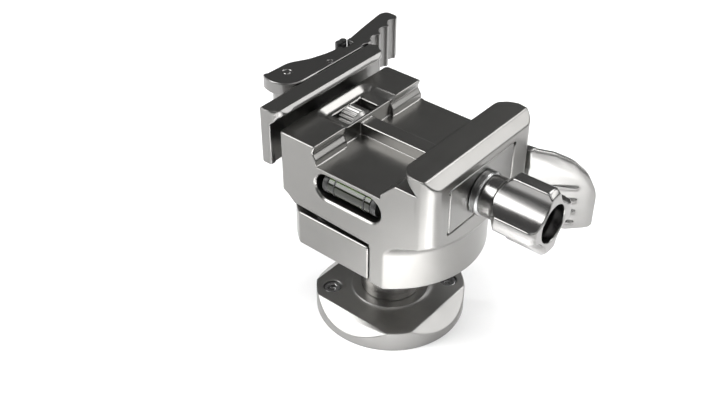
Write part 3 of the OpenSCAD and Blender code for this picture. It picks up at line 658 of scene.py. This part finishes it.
@dataclass
class PlateClampGroup(Assembly):
    """Moving jaw, its lever, pins, button, thumbwheel and drawbar."""

    skins: list[Skin] = field(
        default_factory=lambda: [
            Skin("arca_jaw", "jaw", "jaw_metal", JAW, 0.55, 4),
            Skin("lever_pin", "jaw", "pin_steel", LEVER, 0.35, 3),
            Skin("clamp_lever", "lever", "lever_metal", LEVER, 0.36, 3),
            Skin("detent_pin", "lever", "screw_steel", LEVER, 0.3, 3),
            Skin("lever_button", "button", "black_part", BLACK, 0.2, 3),
            Skin("thumbwheel", "wheel", "jaw_metal", JAW, 0.0, smooth_deg=20.0),
            Skin("drawbar", "draw", "pin_steel", PIN, 0.15),
        ]
    )


@dataclass
class RailClampGroup(Assembly):
    """Rail jaw with the knob, its washer and its screws."""

    skins: list[Skin] = field(
        default_factory=lambda: [
            Skin("rail_jaw", "rail", "jaw_metal", JAW, 0.3, 3),
            Skin("knob_washer", "knob_group", "screw_steel", STEEL, 0.2),
            Skin("knob", "knob_group", "knob_metal", KNOB, 0.3, 3, angle_deg=24.0),
            Skin("clamp_screw", "knob_group", "pin_steel", PIN, 0.15),
            Skin("knob_cap_screw", "knob_group", "pin_steel", PIN, 0.15),
        ]
    )


@dataclass
class LevelGroup(Assembly):
    """Spirit level in the front face."""

    skins: list[Skin] = field(
        default_factory=lambda: [
            Skin("vial_tube", "head", "vial_tube_clear", TUBE, 0.1),
            Skin("vial_bubble", "head", "vial_bubble_clear", BUBBLE, 0.3, 4),
            Skin("vial_caps", "head", "black_part", BLACK, 0.25, 3),
            Skin("vial_rings", "head", "black_part", BLACK, 0.03),
        ]
    )


@dataclass(frozen=True)
class DomeLight:
    """A soft light on the dome round the head; its size is in metres."""

    name: str
    azimuth_deg: float
    elevation_deg: float
    size: tuple[float, float]
    watts: float


@dataclass(frozen=True)
class Pool:
    """A soft patch of light on the floor; places and the lamp's radius are in metres."""

    name: str
    place: tuple[float, float, float]
    aim: tuple[float, float, float]
    cone_deg: float
    watts: float
    blend: float = 0.7
    radius: float = 0.02


DOME_LIGHTS = (
    DomeLight("left_soft", 226.0, 39.0, (0.32, 0.58), 3.90),
    DomeLight("right_soft", 345.0, 40.0, (0.50, 0.27), 0.68),
    DomeLight("right_high_soft", 0.0, 66.0, (0.27, 0.27), 0.34),
    DomeLight("back_high_soft", 76.0, 51.0, (0.38, 0.24), 1.45),
    DomeLight("back_low_soft", 42.0, 27.0, (0.36, 0.22), 0.90),
)
FLOOR_POOLS = (
    Pool("floor_pool", (0.30, -0.26, 0.46), (0.064, -0.054, 0.0), 8.0, 76.0),
    Pool("front_pool", (0.05, -0.40, 0.46), (0.014, -0.060, 0.0), 6.0, 42.0),
    Pool("rear_pool", (0.30, 0.26, 0.46), (0.058, 0.040, 0.0), 9.0, 5.0),
)


@dataclass
class Studio:
    """Camera at the photograph's place, pale floor and soft light."""

    azimuth_deg: float = 40.14
    elevation_deg: float = 37.32
    lens_mm: float = 53.13
    place_mm: tuple[float, float, float] = (121.442, -157.172, 179.631)
    sensor_mm: float = 36.0
    clip_m: tuple[float, float] = (0.01, 20.0)
    floor_m: float = 3.0
    floor_drop_mm: float = 0.02

    def camera(self) -> bpy.types.Object:
        """Sets the camera up at the photograph's viewing angle.

        Returns:
            The camera.
        """
        a, e = math.radians(self.azimuth_deg), math.radians(self.elevation_deg)
        right = Vector((math.cos(a), math.sin(a), 0.0))
        back = Vector((math.sin(a) * math.cos(e), -math.cos(a) * math.cos(e), math.sin(e)))
        up = back.cross(right)
        data = bpy.data.cameras.new("photo_camera")
        data.lens = self.lens_mm
        data.sensor_width = self.sensor_mm
        data.clip_start, data.clip_end = self.clip_m
        camera = bpy.data.objects.new("photo_camera", data)
        turn = Matrix((right, up, back)).transposed().to_4x4()
        camera.matrix_world = Matrix.Translation(Vector(mm(*self.place_mm))) @ turn
        bpy.context.scene.collection.objects.link(camera)
        bpy.context.scene.camera = camera
        return camera

    def floor(self) -> bpy.types.Object:
        """Lays the pale floor.

        Returns:
            The floor.
        """
        clear_selection()
        drop = self.floor_drop_mm * MM
        bpy.ops.mesh.primitive_plane_add(size=self.floor_m, location=(0, 0, -drop))
        floor = bpy.context.object
        floor.name = "studio_floor"
        material = bpy.data.materials.new("studio_floor")
        material.use_nodes = True
        shader = Finish.shader(material)
        shader.inputs["Base Color"].default_value = (FLOOR_TONE, FLOOR_TONE, FLOOR_TONE, 1.0)
        shader.inputs["Roughness"].default_value = 0.9
        shader.inputs["Specular IOR Level"].default_value = 0.1
        floor.data.materials.append(material)
        return floor

    @staticmethod
    def hang(
        data: bpy.types.Light, place: tuple[float, float, float], aim: tuple[float, float, float]
    ) -> bpy.types.Object:
        """Hangs a light and turns it to its aim.

        Args:
            data: The light's own settings.
            place: Where it hangs, in metres.
            aim: The point that it faces, in metres.

        Returns:
            The light.
        """
        lamp = bpy.data.objects.new(data.name, data)
        lamp.location = Vector(place)
        lamp.rotation_mode = "QUATERNION"
        lamp.rotation_quaternion = (Vector(aim) - Vector(place)).to_track_quat("-Z", "Y")
        bpy.context.scene.collection.objects.link(lamp)
        return lamp

    def softbox(
        self,
        name: str,
        place: tuple[float, float, float],
        aim: tuple[float, float, float],
        size: tuple[float, float],
        watts: float,
    ) -> bpy.types.Object:
        """Hangs one rectangular soft light.

        Args:
            name: Name of the light.
            place: Where it hangs, in metres.
            aim: The point that it faces, in metres.
            size: Its width and height in metres.
            watts: Its power.

        Returns:
            The light.
        """
        data = bpy.data.lights.new(name, "AREA")
        data.shape = "RECTANGLE"
        data.size, data.size_y = size
        data.energy = watts
        return self.hang(data, place, aim)

    def pool(self, spot: Pool) -> bpy.types.Object:
        """Lights one soft patch of the floor, which the upright faces mirror.

        Args:
            spot: The patch and the lamp that makes it.

        Returns:
            The light.
        """
        data = bpy.data.lights.new(spot.name, "SPOT")
        data.spot_size = math.radians(spot.cone_deg)
        data.spot_blend = spot.blend
        data.shadow_soft_size = spot.radius
        data.energy = spot.watts
        lamp = self.hang(data, spot.place, spot.aim)
        lamp.visible_glossy = False
        return lamp

    @staticmethod
    def around(azimuth_deg: float, elevation_deg: float) -> tuple[float, float, float]:
        """Works out a place on the dome round the head.

        Args:
            azimuth_deg: Angle from +X towards +Y.
            elevation_deg: Angle above the floor.

        Returns:
            The place in metres.
        """
        a, e = math.radians(azimuth_deg), math.radians(elevation_deg)
        return (
            DOME_M * math.cos(a) * math.cos(e),
            DOME_M * math.sin(a) * math.cos(e),
            HEAD_MIDDLE_M + DOME_M * math.sin(e),
        )

    def light(self) -> None:
        """Hangs the soft lights and sets the room's own dim light."""
        middle = (0.0, 0.0, HEAD_MIDDLE_M)
        for box in DOME_LIGHTS:
            place = self.around(box.azimuth_deg, box.elevation_deg)
            self.softbox(box.name, place, middle, box.size, box.watts)
        ceiling = self.softbox(
            "ceiling_soft", (0.05, -0.10, 1.30), (0.05, -0.10, 0.0), (1.60, 1.60), 12.0
        )
        ceiling.visible_glossy = False
        for spot in FLOOR_POOLS:
            self.pool(spot)
        world = bpy.data.worlds.new("studio_room")
        world.use_nodes = True
        back = next(n for n in world.node_tree.nodes if n.type == "BACKGROUND")
        back.inputs["Color"].default_value = (1.0, 1.0, 1.0, 1.0)
        back.inputs["Strength"].default_value = ROOM_LIGHT
        bpy.context.scene.world = world
        bpy.context.scene.view_settings.view_transform = "Standard"
        bpy.context.scene.view_settings.look = "None"


def main() -> None:
    """Builds every group of the head, then the studio."""
    logging.basicConfig(level=logging.INFO, format="%(name)s %(message)s")
    groups = [
        BaseGroup(),
        BallGroup(),
        HeadGroup(),
        LockGroup(),
        PlateClampGroup(),
        RailClampGroup(),
        LevelGroup(),
    ]
    for group in groups:
        pieces = group.build()
        LOG.info("%s: %d pieces", type(group).__name__, len(pieces))
    studio = Studio()
    studio.camera()
    studio.floor()
    studio.light()
    clear_selection()


if __name__ == "__main__":
    main()
